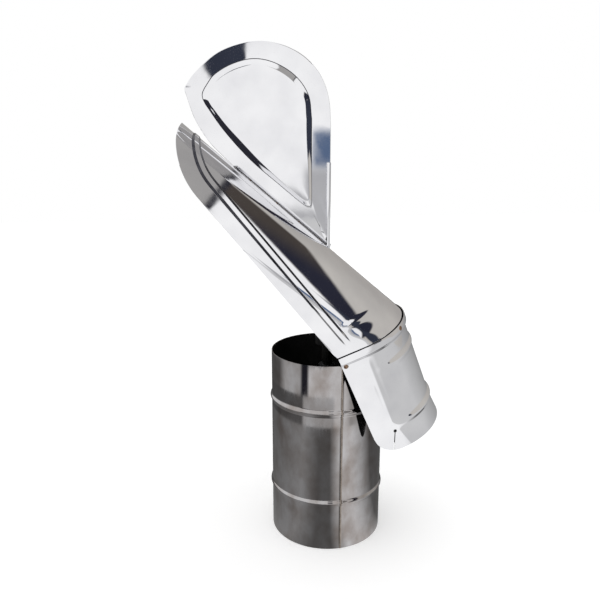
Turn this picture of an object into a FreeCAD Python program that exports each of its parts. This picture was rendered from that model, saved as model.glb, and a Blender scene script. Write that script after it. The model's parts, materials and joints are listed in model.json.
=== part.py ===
import FreeCAD, Part
import math
import os

# Rotating chimney cowl: a round base pipe, a spindle held inside it, and a
# scoop-shaped hood with a tail vane that turns on the spindle.
# Millimetres. Origin at the centre of the pipe's foot, +Z up along the
# spindle. The hood opens toward -X (the lee side), its skirt is at +X.

V = FreeCAD.Vector
os.makedirs("parts", exist_ok=True)

# Sheet and general fits
sheet = 0.8
running_gap = 0.05
lap_gap = 0.1
cutter_reach = 1000.0

# Base pipe
pipe_radius = 75.0
pipe_length = 255.0
pipe_bead_height = 2.1
pipe_bead_width = 9.0
pipe_bead_fillet = 2.0
upper_bead_below_rim = 63.5
lower_bead_above_foot = 66.0
seam_angle = -86.5
seam_width = 2.0
seam_height = 0.25

# Cross bars that hold the spindle inside the pipe
bar_width = 25.0
bar_thickness = 3.0
bar_tab_height = 18.0
upper_bar_below_rim = 35.0
lower_bar_below_rim = 150.0

# Spindle and its nuts
spindle_radius = 7.0
spindle_tail = 6.0
nut_across_flats = 21.0
nut_height = 11.0
washer_radius = 14.0
washer_thickness = 2.5
thread_gap = 0.1

# Ball bearing at the spindle's top
journal_radius = 5.0
bearing_radius = 13.0
bearing_width = 8.0
bearing_above_rim = 84.0
inner_land_radius = 7.4
outer_land_radius = 10.6
ball_radius = 2.3
ball_count = 8
inner_groove_gap = 0.05
outer_groove_gap = 0.35
cage_thickness = 1.4
cage_height = 6.4
journal_nut_flats = 16.0
journal_nut_height = 5.0
journal_tail = 1.5

# Bearing tube, cap and guide bush of the hood
tube_wall = 3.0
tube_above_rim = 8.0
tube_step = 3.0
bush_length = 22.0
cap_thickness = 3.0
cap_headroom = 3.0

# Skirt: a U-shaped sheet, flat wings and a round back, leaning outward
skirt_lean = 21.0
skirt_top = 15.0
skirt_bottom = -137.6
skirt_wing_edge_top = 0.9
skirt_wing_edge_bottom = 9.0
skirt_back_gap_top = 34.5
skirt_back_gap_bottom = 34.0
skirt_side_gap_top = 12.0
skirt_side_gap_bottom = 2.4
wing_width_top = 32.0
wing_width_bottom = 28.5
wing_corner_radius = 27.0
skirt_upper_bead = -22.5
skirt_lower_bead = -103.0
skirt_upper_bead_height = 2.0
skirt_lower_bead_height = 3.0
skirt_bead_width = 14.0
bead_steps = 8
lip_flare = 3.0
slit_width = 1.2
slit_hole_radius = 2.2

# Roof: the same U section carried up the slope and cut as a scoop
roof_slope = 40.6
roof_bend = 15.5
roof_collar = 5.0
roof_reach = 480.0
eave_slope = 50.8
eave_length = 257.5
nose_radius = 95.0
tip_radius = 42.0
tip_turn = 90.0
rib_height = 1.2
rib_inset = 24.0
rib_width = 7.5
rib_start = 26.0
cross_rib_along = 31.0
cross_rib_width = 12.0
cross_rib_height = 1.6
cross_rib_half_width = 70.0

# Tail vane, heights measured from the roof's ridge above the spindle
vane_edge = 2.0
vane_straight_top = 152.0
vane_foot_out = 118.0
vane_points = [
    (-0.4, 182.6), (-9.8, 209.2), (-28.5, 230.8), (-54.0, 244.5),
    (-83.0, 249.3), (-112.4, 244.8), (-140.3, 232.5), (-163.9, 211.5),
]
vane_corner = (-177.0, 194.5)
vane_corner_radius = 6.0
vane_lower_points = [(-165.2, 159.2), (-149.2, 132.8), (-132.0, 114.8)]
panel_points = [
    (-22.2, 160.2), (-26.3, 188.0), (-42.2, 210.2), (-67.4, 225.0), (-93.5, 229.4), (-119.5, 222.9),
    (-141.1, 210.2), (-152.5, 195.5), (-155.9, 186.0), (-152.2, 175.7), (-130.6, 145.1), (-99.0, 110.3),
    (-61.6, 78.6), (-33.0, 55.5), (-25.5, 52.6), (-22.2, 59.0),
]
panel_raise = 3.2
panel_side = 8.0
panel_steps = 4
hem_width = 4.5
hem_top = 107.4
vane_flange_width = 14.0

# Arms, gusset and rivets
arm_width = 16.0
arm_near_edge = 1.0
arm_thickness = 3.0
arm_tab_below = 9.0
gusset_web = 4.0
gusset_flange_thickness = 3.0
gusset_flange_half_width = 14.0
gusset_out = 78.0
gusset_flange_in = 26.0
gusset_low = 50.0
rivet_radius = 1.6
rivet_head_radius = 3.2
rivet_head_height = 1.3
rivet_tail = 1.5
arm_rivet_in = 6.0
arm_rivet_above_rim = 3.5
joint_rivet_angles = (-44.0, 0.0, 44.0)
joint_rivet_up = 2.4
vane_rivet_side = 7.5
vane_rivet_out = (10.0, 38.0, 66.0, 100.0)

# Directions and places shared by the hood's pieces
lean = math.radians(skirt_lean)
slope = math.radians(roof_slope)
eave = math.radians(eave_slope)
rim = V(0, 0, pipe_length)
inward = V(math.cos(lean), 0, math.sin(lean))
skirt_axis = V(-math.sin(lean), 0, math.cos(lean))
roof_axis = V(-math.cos(slope), 0, math.sin(slope))
across = V(0, 1, 0)
up = V(0, 0, 1)
skirt_back_top = pipe_radius + skirt_back_gap_top
skirt_back_bottom = pipe_radius + skirt_back_gap_bottom
skirt_half_width_top = pipe_radius + skirt_side_gap_top
skirt_half_width_bottom = pipe_radius + skirt_side_gap_bottom
tube_radius = bearing_radius + tube_wall
tube_bore = bearing_radius - tube_step
pipe_bore = pipe_radius - sheet
bearing_top = bearing_above_rim + bearing_width
spindle_end = bearing_top + journal_nut_height + journal_tail
tube_top = spindle_end + cap_headroom
upper_bar_z = pipe_length - upper_bar_below_rim
lower_bar_z = pipe_length - lower_bar_below_rim


def save(name, shape):
    shape.exportStep("parts/" + name + ".step")


def merged(shapes):
    result = shapes[0]
    if len(shapes) > 1:
        result = shapes[0].multiFuse(shapes[1:]).removeSplitter()
    return result


def side_point(out, height, y=0.0):
    return V(out, y, pipe_length + height)


def cylinder(radius, length, z, x=0.0, y=0.0):
    return Part.makeCylinder(radius, length, V(x, y, z), up)


def ring(outer, inner, length, z):
    return cylinder(outer, length, z).cut(cylinder(inner, length, z))


def hex_nut(across_flats, height, bore, z):
    corner = across_flats / math.sqrt(3.0)
    points = []
    for step in range(7):
        turn = math.radians(60.0 * step)
        points.append(V(corner * math.cos(turn), corner * math.sin(turn), z))
    body = Part.Face(Part.makePolygon(points)).extrude(up * height)
    return body.cut(cylinder(bore, height, z))


def revolved(edges, start_angle=0.0, turn=360.0):
    face = Part.Face(Part.Wire(edges))
    face.rotate(V(0, 0, 0), up, start_angle)
    return face.revolve(V(0, 0, 0), up, turn)


# Base pipe: a rolled tube with two swaged beads and one weld seam

def pipe_line(radius):
    # Edges of the wall line from foot to rim, bulging out at each bead
    edges = []
    low = V(radius, 0, 0)
    half = pipe_bead_width / 2.0
    reach = (half ** 2 / pipe_bead_height + pipe_bead_height) / 2.0
    turn = math.asin(half / reach)
    toe_up = pipe_bead_fillet * math.sin(turn)
    toe_out = pipe_bead_fillet * (1.0 - math.cos(turn))
    bow_up = pipe_bead_fillet * math.sin(turn / 2.0)
    bow_out = pipe_bead_fillet * (1.0 - math.cos(turn / 2.0))
    for middle in (lower_bead_above_foot, pipe_length - upper_bead_below_rim):
        foot = V(radius, 0, middle - half)
        head = V(radius, 0, middle + half)
        crest = V(radius + pipe_bead_height, 0, middle)
        lower = foot + V(toe_out, 0, toe_up)
        upper = head + V(toe_out, 0, -toe_up)
        edges.append(Part.makeLine(low, foot))
        edges.append(Part.Arc(foot, foot + V(bow_out, 0, bow_up), lower).toShape())
        edges.append(Part.Arc(lower, crest, upper).toShape())
        edges.append(Part.Arc(upper, head + V(bow_out, 0, -bow_up), head).toShape())
        low = head
    edges.append(Part.makeLine(low, V(radius, 0, pipe_length)))
    return edges


def pipe_wall(inner, outer):
    foot = Part.makeLine(V(inner, 0, 0), V(outer, 0, 0))
    head = Part.makeLine(V(inner, 0, pipe_length), V(outer, 0, pipe_length))
    return Part.__sortEdges__(pipe_line(inner) + [foot, head] + pipe_line(outer))


def base_pipe():
    tube = revolved(pipe_wall(pipe_bore, pipe_radius))
    turn = math.degrees(seam_width / pipe_radius)
    start = seam_angle - turn / 2.0
    seam = revolved(pipe_wall(pipe_radius - sheet / 2.0, pipe_radius + seam_height), start, turn)
    return merged([tube, seam])


# Cross bars: flat strips with their ends bent down along the pipe's wall

def cross_bar(top_z):
    low_z = top_z - bar_tab_height
    inner_wall = cylinder(pipe_bore, bar_tab_height, low_z)
    strip = Part.makeBox(4 * pipe_radius, bar_width, bar_tab_height)
    strip.translate(V(-2 * pipe_radius, -bar_width / 2.0, low_z))
    body = inner_wall.common(strip)
    hollow = cylinder(pipe_bore - bar_thickness, bar_tab_height - bar_thickness, low_z)
    bore = cylinder(spindle_radius + thread_gap, bar_tab_height, low_z)
    return body.cut(hollow).cut(bore)


def spindle_stack_levels():
    # Foot of each washer and nut above and below the two bars
    washers = []
    nuts = []
    for top_z in (lower_bar_z, upper_bar_z):
        under_z = top_z - bar_thickness - washer_thickness
        washers += [top_z, under_z]
        nuts += [top_z + washer_thickness, under_z - nut_height]
    return washers, nuts


def spindle():
    washers, nuts = spindle_stack_levels()
    start = min(nuts) - spindle_tail
    shoulder = pipe_length + bearing_above_rim
    rod = cylinder(spindle_radius, shoulder - start, start)
    journal = cylinder(journal_radius, spindle_end - bearing_above_rim, shoulder)
    return merged([rod, journal])


def spindle_washers():
    washers, nuts = spindle_stack_levels()
    bore = spindle_radius + thread_gap
    return Part.Compound([ring(washer_radius, bore, washer_thickness, z) for z in washers])


def spindle_nuts():
    washers, nuts = spindle_stack_levels()
    bore = spindle_radius + thread_gap
    return Part.Compound([hex_nut(nut_across_flats, nut_height, bore, z) for z in nuts])


# Ball bearing

bearing_z = pipe_length + bearing_above_rim
bearing_middle = bearing_z + bearing_width / 2.0
pitch_radius = (inner_land_radius + outer_land_radius) / 2.0


def groove(gap):
    return Part.makeTorus(pitch_radius, ball_radius + gap, V(0, 0, bearing_middle), up)


def bearing_inner_ring():
    body = ring(inner_land_radius, journal_radius + running_gap, bearing_width, bearing_z)
    return body.cut(groove(inner_groove_gap))


def bearing_outer_ring():
    body = ring(bearing_radius - running_gap, outer_land_radius, bearing_width, bearing_z)
    return body.cut(groove(outer_groove_gap))


def ball_places():
    places = []
    for step in range(ball_count):
        turn = 2.0 * math.pi * step / ball_count
        places.append(V(pitch_radius * math.cos(turn), pitch_radius * math.sin(turn), bearing_middle))
    return places


def bearing_balls():
    return Part.Compound([Part.makeSphere(ball_radius, place) for place in ball_places()])


def bearing_cage():
    half = cage_thickness / 2.0
    body = ring(pitch_radius + half, pitch_radius - half, cage_height, bearing_middle - cage_height / 2.0)
    for place in ball_places():
        axle = V(place.x, place.y, 0).normalize()
        start = V(0, 0, bearing_middle)
        body = body.cut(Part.makeCylinder(ball_radius + lap_gap, bearing_radius, start, axle))
    return body


def journal_nut():
    return hex_nut(journal_nut_flats, journal_nut_height, journal_radius + thread_gap, pipe_length + bearing_top)


# Bearing tube of the hood, with its cap and guide bush

def bearing_tube():
    foot = pipe_length + tube_above_rim
    body = ring(tube_radius, tube_bore, tube_top - tube_above_rim, foot)
    seat = cylinder(bearing_radius, tube_top - bearing_above_rim, bearing_z)
    return body.cut(seat)


def guide_bush():
    foot = pipe_length + tube_above_rim
    return ring(tube_bore, spindle_radius + running_gap, bush_length, foot)


def tube_cap():
    lid = cylinder(tube_radius, cap_thickness, pipe_length + tube_top)
    spigot_foot = pipe_length + bearing_top
    spigot = ring(bearing_radius - running_gap, outer_land_radius, tube_top - bearing_top, spigot_foot)
    return merged([lid, spigot])


# Skirt

def skirt_share(level):
    return (level - skirt_bottom) / (skirt_top - skirt_bottom)


def skirt_value(top, bottom, level):
    return bottom + (top - bottom) * skirt_share(level)


def u_edges(level, offset, bulge):
    # Open U line at a level along the skirt's axis: wing, round back, wing
    width = skirt_value(skirt_half_width_top, skirt_half_width_bottom, level) + offset
    edge = skirt_value(skirt_wing_edge_top, skirt_wing_edge_bottom, level)
    wing = skirt_value(wing_width_top, wing_width_bottom, level) + bulge
    back = skirt_value(skirt_back_top, skirt_back_bottom, level) + bulge + offset
    base = rim + skirt_axis * level
    middle = base + inward * (edge + wing)
    far_side = middle + across * width
    near_side = middle - across * width
    far_edge = base + inward * edge + across * width
    near_edge = base + inward * edge - across * width
    oval = Part.Ellipse(far_side, base + inward * back, middle)
    arc = Part.ArcOfEllipse(oval, 0.0, math.pi).toShape()
    return [Part.makeLine(far_edge, far_side), arc, Part.makeLine(near_side, near_edge)]


def u_wire(level, outer, inner, bulge=0.0):
    # Closed section of a sheet between two offsets of the U line
    outside = u_edges(level, outer, bulge)
    inside = u_edges(level, inner, bulge)
    far_end = Part.makeLine(outside[0].Vertexes[0].Point, inside[0].Vertexes[0].Point)
    near_end = Part.makeLine(outside[2].Vertexes[1].Point, inside[2].Vertexes[1].Point)
    return Part.Wire(Part.__sortEdges__(outside + [near_end] + inside + [far_end]))


def u_loft(levels, outer, inner, straight=True):
    wires = [u_wire(level, outer, inner, bulge) for level, bulge in levels]
    return Part.makeLoft(wires, True, straight)


def bead_levels(middle, height):
    # Sections through a bead that swells and fades smoothly
    levels = []
    for step in range(bead_steps + 1):
        share = 2.0 * step / bead_steps - 1.0
        bulge = height * math.cos(share * math.pi / 2.0) ** 2
        levels.append((middle - share * skirt_bead_width / 2.0, bulge))
    return levels


def wing_corner_cut():
    # Block that rounds the lower free corner of both wings
    base = rim + skirt_axis * skirt_bottom + inward * skirt_wing_edge_bottom
    r = wing_corner_radius
    corner = base - inward * r - skirt_axis * r
    side = r * 2.0
    points = [corner, corner + inward * side, corner + inward * side + skirt_axis * side, corner + skirt_axis * side]
    block = Part.Face(Part.makePolygon(points + [corner])).extrude(across * cutter_reach)
    block.translate(across * (-cutter_reach / 2.0))
    centre = base + inward * r + skirt_axis * r - across * (cutter_reach / 2.0)
    return block.cut(Part.makeCylinder(r, cutter_reach, centre, across))


def lip_slit():
    # Slit and relief hole where the round back's lip leaves the flat wing
    hole_level = skirt_lower_bead - skirt_bead_width / 2.0
    crease = skirt_value(skirt_wing_edge_top, skirt_wing_edge_bottom, hole_level)
    crease += skirt_value(wing_width_top, wing_width_bottom, hole_level)
    place = rim + skirt_axis * hole_level + inward * crease - across * (cutter_reach / 2.0)
    hole = Part.makeCylinder(slit_hole_radius, cutter_reach, place, across)
    half = V(slit_width / 2.0, 0, 0)
    length = V(0, 0, skirt_bottom - hole_level - skirt_bead_width)
    points = [place - half, place + half, place + half + length, place - half + length, place - half]
    slot = Part.Face(Part.makePolygon(points)).extrude(across * cutter_reach)
    return [hole, slot]


def skirt():
    upper = bead_levels(skirt_upper_bead, skirt_upper_bead_height)
    lower = bead_levels(skirt_lower_bead, skirt_lower_bead_height)
    bands = [u_loft([(skirt_top, 0.0), upper[0]], 0.0, -sheet)]
    bands.append(u_loft(upper, 0.0, -sheet, False))
    bands.append(u_loft([upper[-1], lower[0]], 0.0, -sheet))
    bands.append(u_loft(lower, 0.0, -sheet, False))
    bands.append(u_loft([lower[-1], (skirt_bottom, lip_flare)], 0.0, -sheet))
    body = merged(bands)
    cutters = [wing_corner_cut()] + lip_slit()
    return drilled(body.cut(cutters), arm_rivet_frames() + joint_rivet_frames())


# Roof

roof_inner = lap_gap
roof_outer = lap_gap + sheet


def roof_prism(outer, inner):
    face = Part.Face(u_wire(roof_bend, outer, inner))
    return face.extrude(roof_axis * roof_reach)


def roof_core(offset):
    # Solid body bounded by an offset of the roof's U line
    edges = u_edges(roof_bend, offset, 0.0)
    ends = Part.makeLine(edges[0].Vertexes[0].Point, edges[2].Vertexes[1].Point)
    face = Part.Face(Part.Wire(Part.__sortEdges__(edges + [ends])))
    return face.extrude(roof_axis * roof_reach)


def ridge_point(out):
    # Point on the roof's outer ridge line above a distance toward the lee
    back = skirt_value(skirt_back_top, skirt_back_bottom, roof_bend) + roof_outer
    start = rim + skirt_axis * roof_bend + inward * back
    return start + roof_axis * ((start.x + out) / math.cos(slope))


def eave_start():
    edge = skirt_value(skirt_wing_edge_top, skirt_wing_edge_bottom, roof_bend - roof_collar)
    return rim + skirt_axis * (roof_bend - roof_collar) + inward * edge


def scoop_outline(inset):
    # Prism across the hood: everything above the eave line and behind the nose
    along = V(-math.cos(eave), 0, math.sin(eave))
    into = V(math.sin(eave), 0, math.cos(eave))
    start = eave_start() + into * inset - along * roof_reach
    upright = math.pi / 2.0 - eave
    nose_centre = eave_start() + along * eave_length + into * nose_radius
    tip_centre = nose_centre - V(nose_radius - tip_radius, 0, 0)

    def bow(centre, radius, first, last):
        points = []
        for turn in (first, (first + last) / 2.0, last):
            points.append(centre + along * (radius * math.sin(turn)) - into * (radius * math.cos(turn)))
        return Part.Arc(*points).toShape()

    nose = bow(nose_centre, nose_radius - inset, 0.0, upright)
    tip = bow(tip_centre, tip_radius - inset, upright, upright + math.radians(tip_turn))
    end = tip.Vertexes[1].Point
    top = V(end.x, 0, end.z + roof_reach)
    back = V(roof_reach, 0, top.z)
    low = V(roof_reach, 0, start.z)
    edges = [Part.makeLine(start, nose.Vertexes[0].Point), nose, tip]
    edges += Part.makePolygon([end, top, back, low, start]).Edges
    prism = Part.Face(Part.Wire(edges)).extrude(across * cutter_reach)
    prism.translate(across * (-cutter_reach / 2.0))
    return prism


def bend_slab(low, high):
    # Slab parallel to the joint between two heights above the bend
    middle = rim + skirt_axis * (roof_bend + low) + inward * (skirt_back_top / 2.0)
    side = inward * roof_reach
    half_width = across * (cutter_reach / 2.0)
    points = [middle - side - half_width, middle + side - half_width]
    points += [middle + side + half_width, middle - side + half_width]
    return Part.Face(Part.makePolygon(points + [points[0]])).extrude(skirt_axis * (high - low))


def cross_rib():
    # Round-backed swage across the roof, its flanks rooted inside the sheet
    root = roof_outer - sheet / 2.0
    wires = []
    for step in range(bead_steps + 1):
        share = 2.0 * step / bead_steps - 1.0
        rise = (cross_rib_height + sheet / 4.0) * math.cos(share * math.pi / 2.0) ** 2
        wire = u_wire(roof_bend, roof_outer - sheet / 4.0 + rise, root)
        wire.translate(roof_axis * (cross_rib_along + share * cross_rib_width / 2.0))
        wires.append(wire)
    window = Part.makeBox(cutter_reach, 2.0 * cross_rib_half_width, cutter_reach)
    window.translate(V(-cutter_reach / 2.0, -cross_rib_half_width, 0))
    return Part.makeLoft(wires, True, False).common(window)


def roof():
    scoop = drilled(roof_prism(roof_outer, roof_inner), vane_rivet_frames()).common(scoop_outline(0.0))
    collar = Part.Face(u_wire(roof_bend, roof_outer, roof_inner)).extrude(skirt_axis * -roof_collar)
    collar = drilled(collar, joint_rivet_frames())
    layer = roof_prism(roof_outer + rib_height, roof_outer - sheet / 2.0)
    band = scoop_outline(rib_inset).cut(scoop_outline(rib_inset + rib_width))
    band = band.common(bend_slab(rib_start, roof_reach))
    border_rib = layer.common(band)
    return merged([scoop, collar]).fuse(border_rib).fuse(cross_rib())


# Vane

def smooth(points, first=None, last=None):
    curve = Part.BSplineCurve()
    if first is None:
        curve.interpolate(points)
    else:
        curve.interpolate(Points=points, InitialTangent=first, FinalTangent=last)
    return curve.toShape()


def vane_point(out, height, y):
    return V(out, y, ridge_point(0.0).z + height)


def vane_outline(y):
    # Straight back edge, round top, one small-radius corner and a lower edge
    # that runs into the ridge
    shift = across * y
    toe = ridge_point(-vane_edge) + shift
    heel = ridge_point(vane_foot_out) + shift
    shoulder = vane_point(vane_edge, vane_straight_top, y)
    top = [vane_point(u, v, y) for u, v in vane_points]
    low = [vane_point(u, v, y) for u, v in vane_lower_points]
    corner = vane_point(vane_corner[0], vane_corner[1], y)
    coming = (corner - top[-1]).normalize()
    going = (low[0] - corner).normalize()
    half_turn = coming.getAngle(going) / 2.0
    inset = vane_corner_radius * math.tan(half_turn)
    first = corner - coming * inset
    last = corner + going * inset
    inside = (going - coming).normalize()
    middle = corner + inside * (vane_corner_radius * (1.0 / math.cos(half_turn) - 1.0))
    upper = smooth([shoulder] + top + [first], up, coming)
    lower = smooth([last] + low + [heel], going, roof_axis * -1.0)
    turn = Part.Arc(first, middle, last).toShape()
    return Part.Wire([Part.makeLine(toe, shoulder), upper, turn, lower, Part.makeLine(heel, toe)])


def panel_outline(y, shrink):
    count = len(panel_points)
    middle_u = sum(u for u, v in panel_points) / count
    middle_v = sum(v for u, v in panel_points) / count
    points = []
    for u, v in panel_points:
        reach = math.hypot(u - middle_u, v - middle_v)
        scale = (reach - shrink) / reach
        points.append(vane_point(middle_u + (u - middle_u) * scale, middle_v + (v - middle_v) * scale, y))
    straight = Part.makeLine(points[-1], points[0])
    return Part.Wire([smooth(points), straight])


def raised_panel(y):
    # Pressed side wall with an S-shaped section, closed by a flat face
    wires = []
    for step in range(panel_steps + 1):
        share = step / panel_steps
        rise = share * share * (3.0 - 2.0 * share)
        wires.append(panel_outline(y - panel_raise * rise, panel_side * share))
    return Part.makeLoft(wires, True, False)


def vane_flange():
    # Strip folded to the far side, lying along the roof's ridge
    layer = roof_prism(roof_outer + lap_gap + sheet, roof_outer + lap_gap)
    toe = ridge_point(-vane_edge)
    heel = ridge_point(vane_foot_out)
    reach = V(sheet * 8.0, 0, sheet * 8.0)
    points = [toe - reach, toe + reach, heel + reach, heel - reach]
    window = Part.Face(Part.makePolygon(points + [points[0]])).extrude(across * vane_flange_width)
    window.translate(across * (-sheet / 2.0))
    return layer.common(window)


def vane():
    half = sheet / 2.0
    plate = Part.Face(vane_outline(-half)).extrude(across * sheet)
    plate = plate.cut(roof_core(roof_outer + lap_gap))
    plate = merged([plate, raised_panel(-half)]).cut(raised_panel(half))
    toe = ridge_point(-vane_edge)
    hem_height = ridge_point(0.0).z + hem_top - toe.z
    hem = Part.makeBox(hem_width, sheet, hem_height, V(vane_edge - hem_width, -half - sheet, toe.z))
    hem = hem.cut(roof_core(roof_outer + lap_gap))
    body = merged([plate, hem, vane_flange()])
    return drilled(body, vane_rivet_frames())


# Arms and gusset that tie the bearing tube to the hood

def arm(side):
    low_z = pipe_length - arm_tab_below
    top_z = pipe_length + tube_above_rim + arm_thickness
    window = Part.makeBox(arm_width, cutter_reach, top_z - low_z)
    window.translate(V(arm_near_edge, min(0.0, side * cutter_reach), low_z))
    levels = [(skirt_top, 0.0), (skirt_upper_bead, 0.0)]
    tab = u_loft(levels, -sheet, -sheet - arm_thickness).common(window)
    levels = [(skirt_top * 2.0, 0.0), (skirt_upper_bead, 0.0)]
    wires = []
    for level, bulge in levels:
        edges = u_edges(level, -sheet, bulge)
        ends = Part.makeLine(edges[0].Vertexes[0].Point, edges[2].Vertexes[1].Point)
        wires.append(Part.Wire(Part.__sortEdges__(edges + [ends])))
    inside = Part.makeLoft(wires, True, True)
    bar = Part.makeBox(arm_width, cutter_reach, arm_thickness)
    bar.translate(V(arm_near_edge, min(0.0, side * cutter_reach), top_z - arm_thickness))
    bar = bar.common(inside).cut(cylinder(tube_radius, cutter_reach, 0.0))
    body = merged([tab, bar])
    return drilled(body, arm_rivet_frames())


def roof_gusset():
    low = side_point(0.0, gusset_low)
    tail = ridge_point(gusset_out)
    head = ridge_point(-tube_radius)
    web = Part.Face(Part.makePolygon([low, head, tail, low])).extrude(across * gusset_web)
    web.translate(across * (-gusset_web / 2.0))
    lid_top = cylinder(tube_radius, cutter_reach, 0.0)
    behind = Part.makeBox(cutter_reach, cutter_reach, cutter_reach, V(0, -cutter_reach / 2.0, 0))
    core = roof_core(roof_inner - lap_gap)
    web = web.cut(lid_top).cut(behind).common(core)
    start = ridge_point(gusset_flange_in)
    reach = V(gusset_flange_thickness * 3.0, 0, gusset_flange_thickness * 3.0)
    points = [start + reach, tail + reach, tail - reach, start - reach]
    window = Part.Face(Part.makePolygon(points + [points[0]])).extrude(across * gusset_flange_half_width * 2.0)
    window.translate(across * -gusset_flange_half_width)
    layer = roof_prism(roof_inner - lap_gap, roof_inner - lap_gap - gusset_flange_thickness)
    body = merged([web, layer.common(window)])
    return drilled(body, vane_rivet_frames())


# Rivets: each frame is a point on the outer sheet face, its outward normal
# and the depth of the sheets it holds

def rivet(place, normal, depth):
    shank = cylinder(rivet_radius, depth + rivet_tail, -depth - rivet_tail)
    dome_radius = (rivet_head_radius ** 2 + rivet_head_height ** 2) / (2.0 * rivet_head_height)
    dome = Part.makeSphere(dome_radius, V(0, 0, rivet_head_height - dome_radius))
    head = cylinder(rivet_head_radius * 2.0, rivet_head_height * 2.0, 0.0).common(dome)
    body = merged([shank, head])
    body.Placement = FreeCAD.Placement(place, FreeCAD.Rotation(up, normal))
    return body


def rivets(frames):
    return Part.Compound([rivet(place, normal, depth) for place, normal, depth in frames])


def drilled(body, frames):
    for place, normal, depth in frames:
        length = depth + rivet_tail + rivet_head_height
        body = body.cut(Part.makeCylinder(rivet_radius, length * 2.0, place - normal * length, normal))
    return body


def arm_rivet_frames():
    frames = []
    place = side_point(arm_rivet_in, arm_rivet_above_rim)
    level = (place - rim).dot(skirt_axis)
    width = skirt_value(skirt_half_width_top, skirt_half_width_bottom, level)
    taper = (skirt_half_width_top - skirt_half_width_bottom) / (skirt_top - skirt_bottom)
    for side in (-1.0, 1.0):
        normal = (across * side - skirt_axis * taper).normalize()
        frames.append((place + across * (side * width), normal, sheet + arm_thickness))
    return frames


def joint_rivet_frames():
    frames = []
    level = roof_bend - roof_collar + joint_rivet_up
    edge = skirt_value(skirt_wing_edge_top, skirt_wing_edge_bottom, roof_bend)
    wing = skirt_value(wing_width_top, wing_width_bottom, roof_bend)
    back = skirt_value(skirt_back_top, skirt_back_bottom, roof_bend) + roof_outer
    width = skirt_value(skirt_half_width_top, skirt_half_width_bottom, roof_bend) + roof_outer
    deep = back - edge - wing
    middle = rim + skirt_axis * level + inward * (edge + wing)
    for angle in joint_rivet_angles:
        turn = math.radians(angle)
        place = middle + inward * (deep * math.cos(turn)) + across * (width * math.sin(turn))
        normal = (inward * (math.cos(turn) / deep) + across * (math.sin(turn) / width)).normalize()
        frames.append((place, normal, sheet * 2.0 + lap_gap))
    return frames


def vane_rivet_frames():
    frames = []
    edge = skirt_value(skirt_wing_edge_top, skirt_wing_edge_bottom, roof_bend)
    wing = skirt_value(wing_width_top, wing_width_bottom, roof_bend)
    back = skirt_value(skirt_back_top, skirt_back_bottom, roof_bend)
    width = skirt_value(skirt_half_width_top, skirt_half_width_bottom, roof_bend)
    over = roof_outer + lap_gap + sheet
    deep = back + over - edge - wing
    wide = width + over
    turn = math.asin(vane_rivet_side / wide)
    drop = inward * (deep * (1.0 - math.cos(turn)))
    crest = ridge_point(0.0) + inward * (lap_gap + sheet)
    tangent_y = across * (wide * math.cos(turn)) - inward * (deep * math.sin(turn))
    for out in vane_rivet_out:
        along = roof_axis * (out / math.cos(slope))
        place = crest + along - drop + across * vane_rivet_side
        normal = tangent_y.cross(roof_axis).normalize()
        if normal.z < 0:
            normal = normal * -1.0
        frames.append((place, normal, sheet * 2.0 + lap_gap + gusset_flange_thickness))
    return frames


save("base_pipe", base_pipe())
save("upper_cross_bar", cross_bar(upper_bar_z))
save("lower_cross_bar", cross_bar(lower_bar_z))
save("spindle", spindle())
save("spindle_washers", spindle_washers())
save("spindle_nuts", spindle_nuts())
save("bearing_inner_ring", bearing_inner_ring())
save("bearing_outer_ring", bearing_outer_ring())
save("bearing_balls", bearing_balls())
save("bearing_cage", bearing_cage())
save("journal_nut", journal_nut())
save("bearing_tube", bearing_tube())
save("guide_bush", guide_bush())
save("tube_cap", tube_cap())
save("hood_skirt", skirt())
save("hood_roof", roof())
save("tail_vane", vane())
save("hood_arm_near", arm(-1.0))
save("hood_arm_far", arm(1.0))
save("roof_gusset", roof_gusset())
save("arm_rivets", rivets(arm_rivet_frames()))
save("joint_rivets", rivets(joint_rivet_frames()))
save("vane_rivets", rivets(vane_rivet_frames()))
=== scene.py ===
import json
import math

import bpy
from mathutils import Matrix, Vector


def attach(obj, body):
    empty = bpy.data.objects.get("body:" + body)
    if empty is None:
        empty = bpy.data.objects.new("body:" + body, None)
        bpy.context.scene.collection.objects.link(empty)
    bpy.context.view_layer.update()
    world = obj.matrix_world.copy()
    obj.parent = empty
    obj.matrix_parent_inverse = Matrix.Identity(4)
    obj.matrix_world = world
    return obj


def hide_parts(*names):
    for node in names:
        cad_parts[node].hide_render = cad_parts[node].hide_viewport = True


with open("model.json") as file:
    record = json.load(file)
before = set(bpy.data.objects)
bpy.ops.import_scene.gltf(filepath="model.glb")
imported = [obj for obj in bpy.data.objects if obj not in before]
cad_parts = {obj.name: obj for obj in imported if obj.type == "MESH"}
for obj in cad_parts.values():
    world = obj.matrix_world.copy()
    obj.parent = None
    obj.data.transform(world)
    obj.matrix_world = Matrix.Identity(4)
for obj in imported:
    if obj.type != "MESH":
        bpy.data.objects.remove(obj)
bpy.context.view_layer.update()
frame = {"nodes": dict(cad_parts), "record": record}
nodes = frame["nodes"]
scene = bpy.context.scene
scene.view_settings.view_transform = "Standard"

# Sizes that several pieces of the cowl share, in millimetres

mm = 0.001
metre = 1000.0
sheet = 0.8
pipe_radius = 75.0
pipe_length = 255.0
lean = math.radians(21.0)
slope = math.radians(40.6)
eave = math.radians(50.8)
rim = Vector((0.0, 0.0, pipe_length))
inward = Vector((math.cos(lean), 0.0, math.sin(lean)))
skirt_axis = Vector((-math.sin(lean), 0.0, math.cos(lean)))
roof_axis = Vector((-math.cos(slope), 0.0, math.sin(slope)))
across = Vector((0.0, 1.0, 0.0))
roof_bend = 15.5
roof_collar = 5.0
roof_out = 0.9

# Colours and nodes


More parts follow.
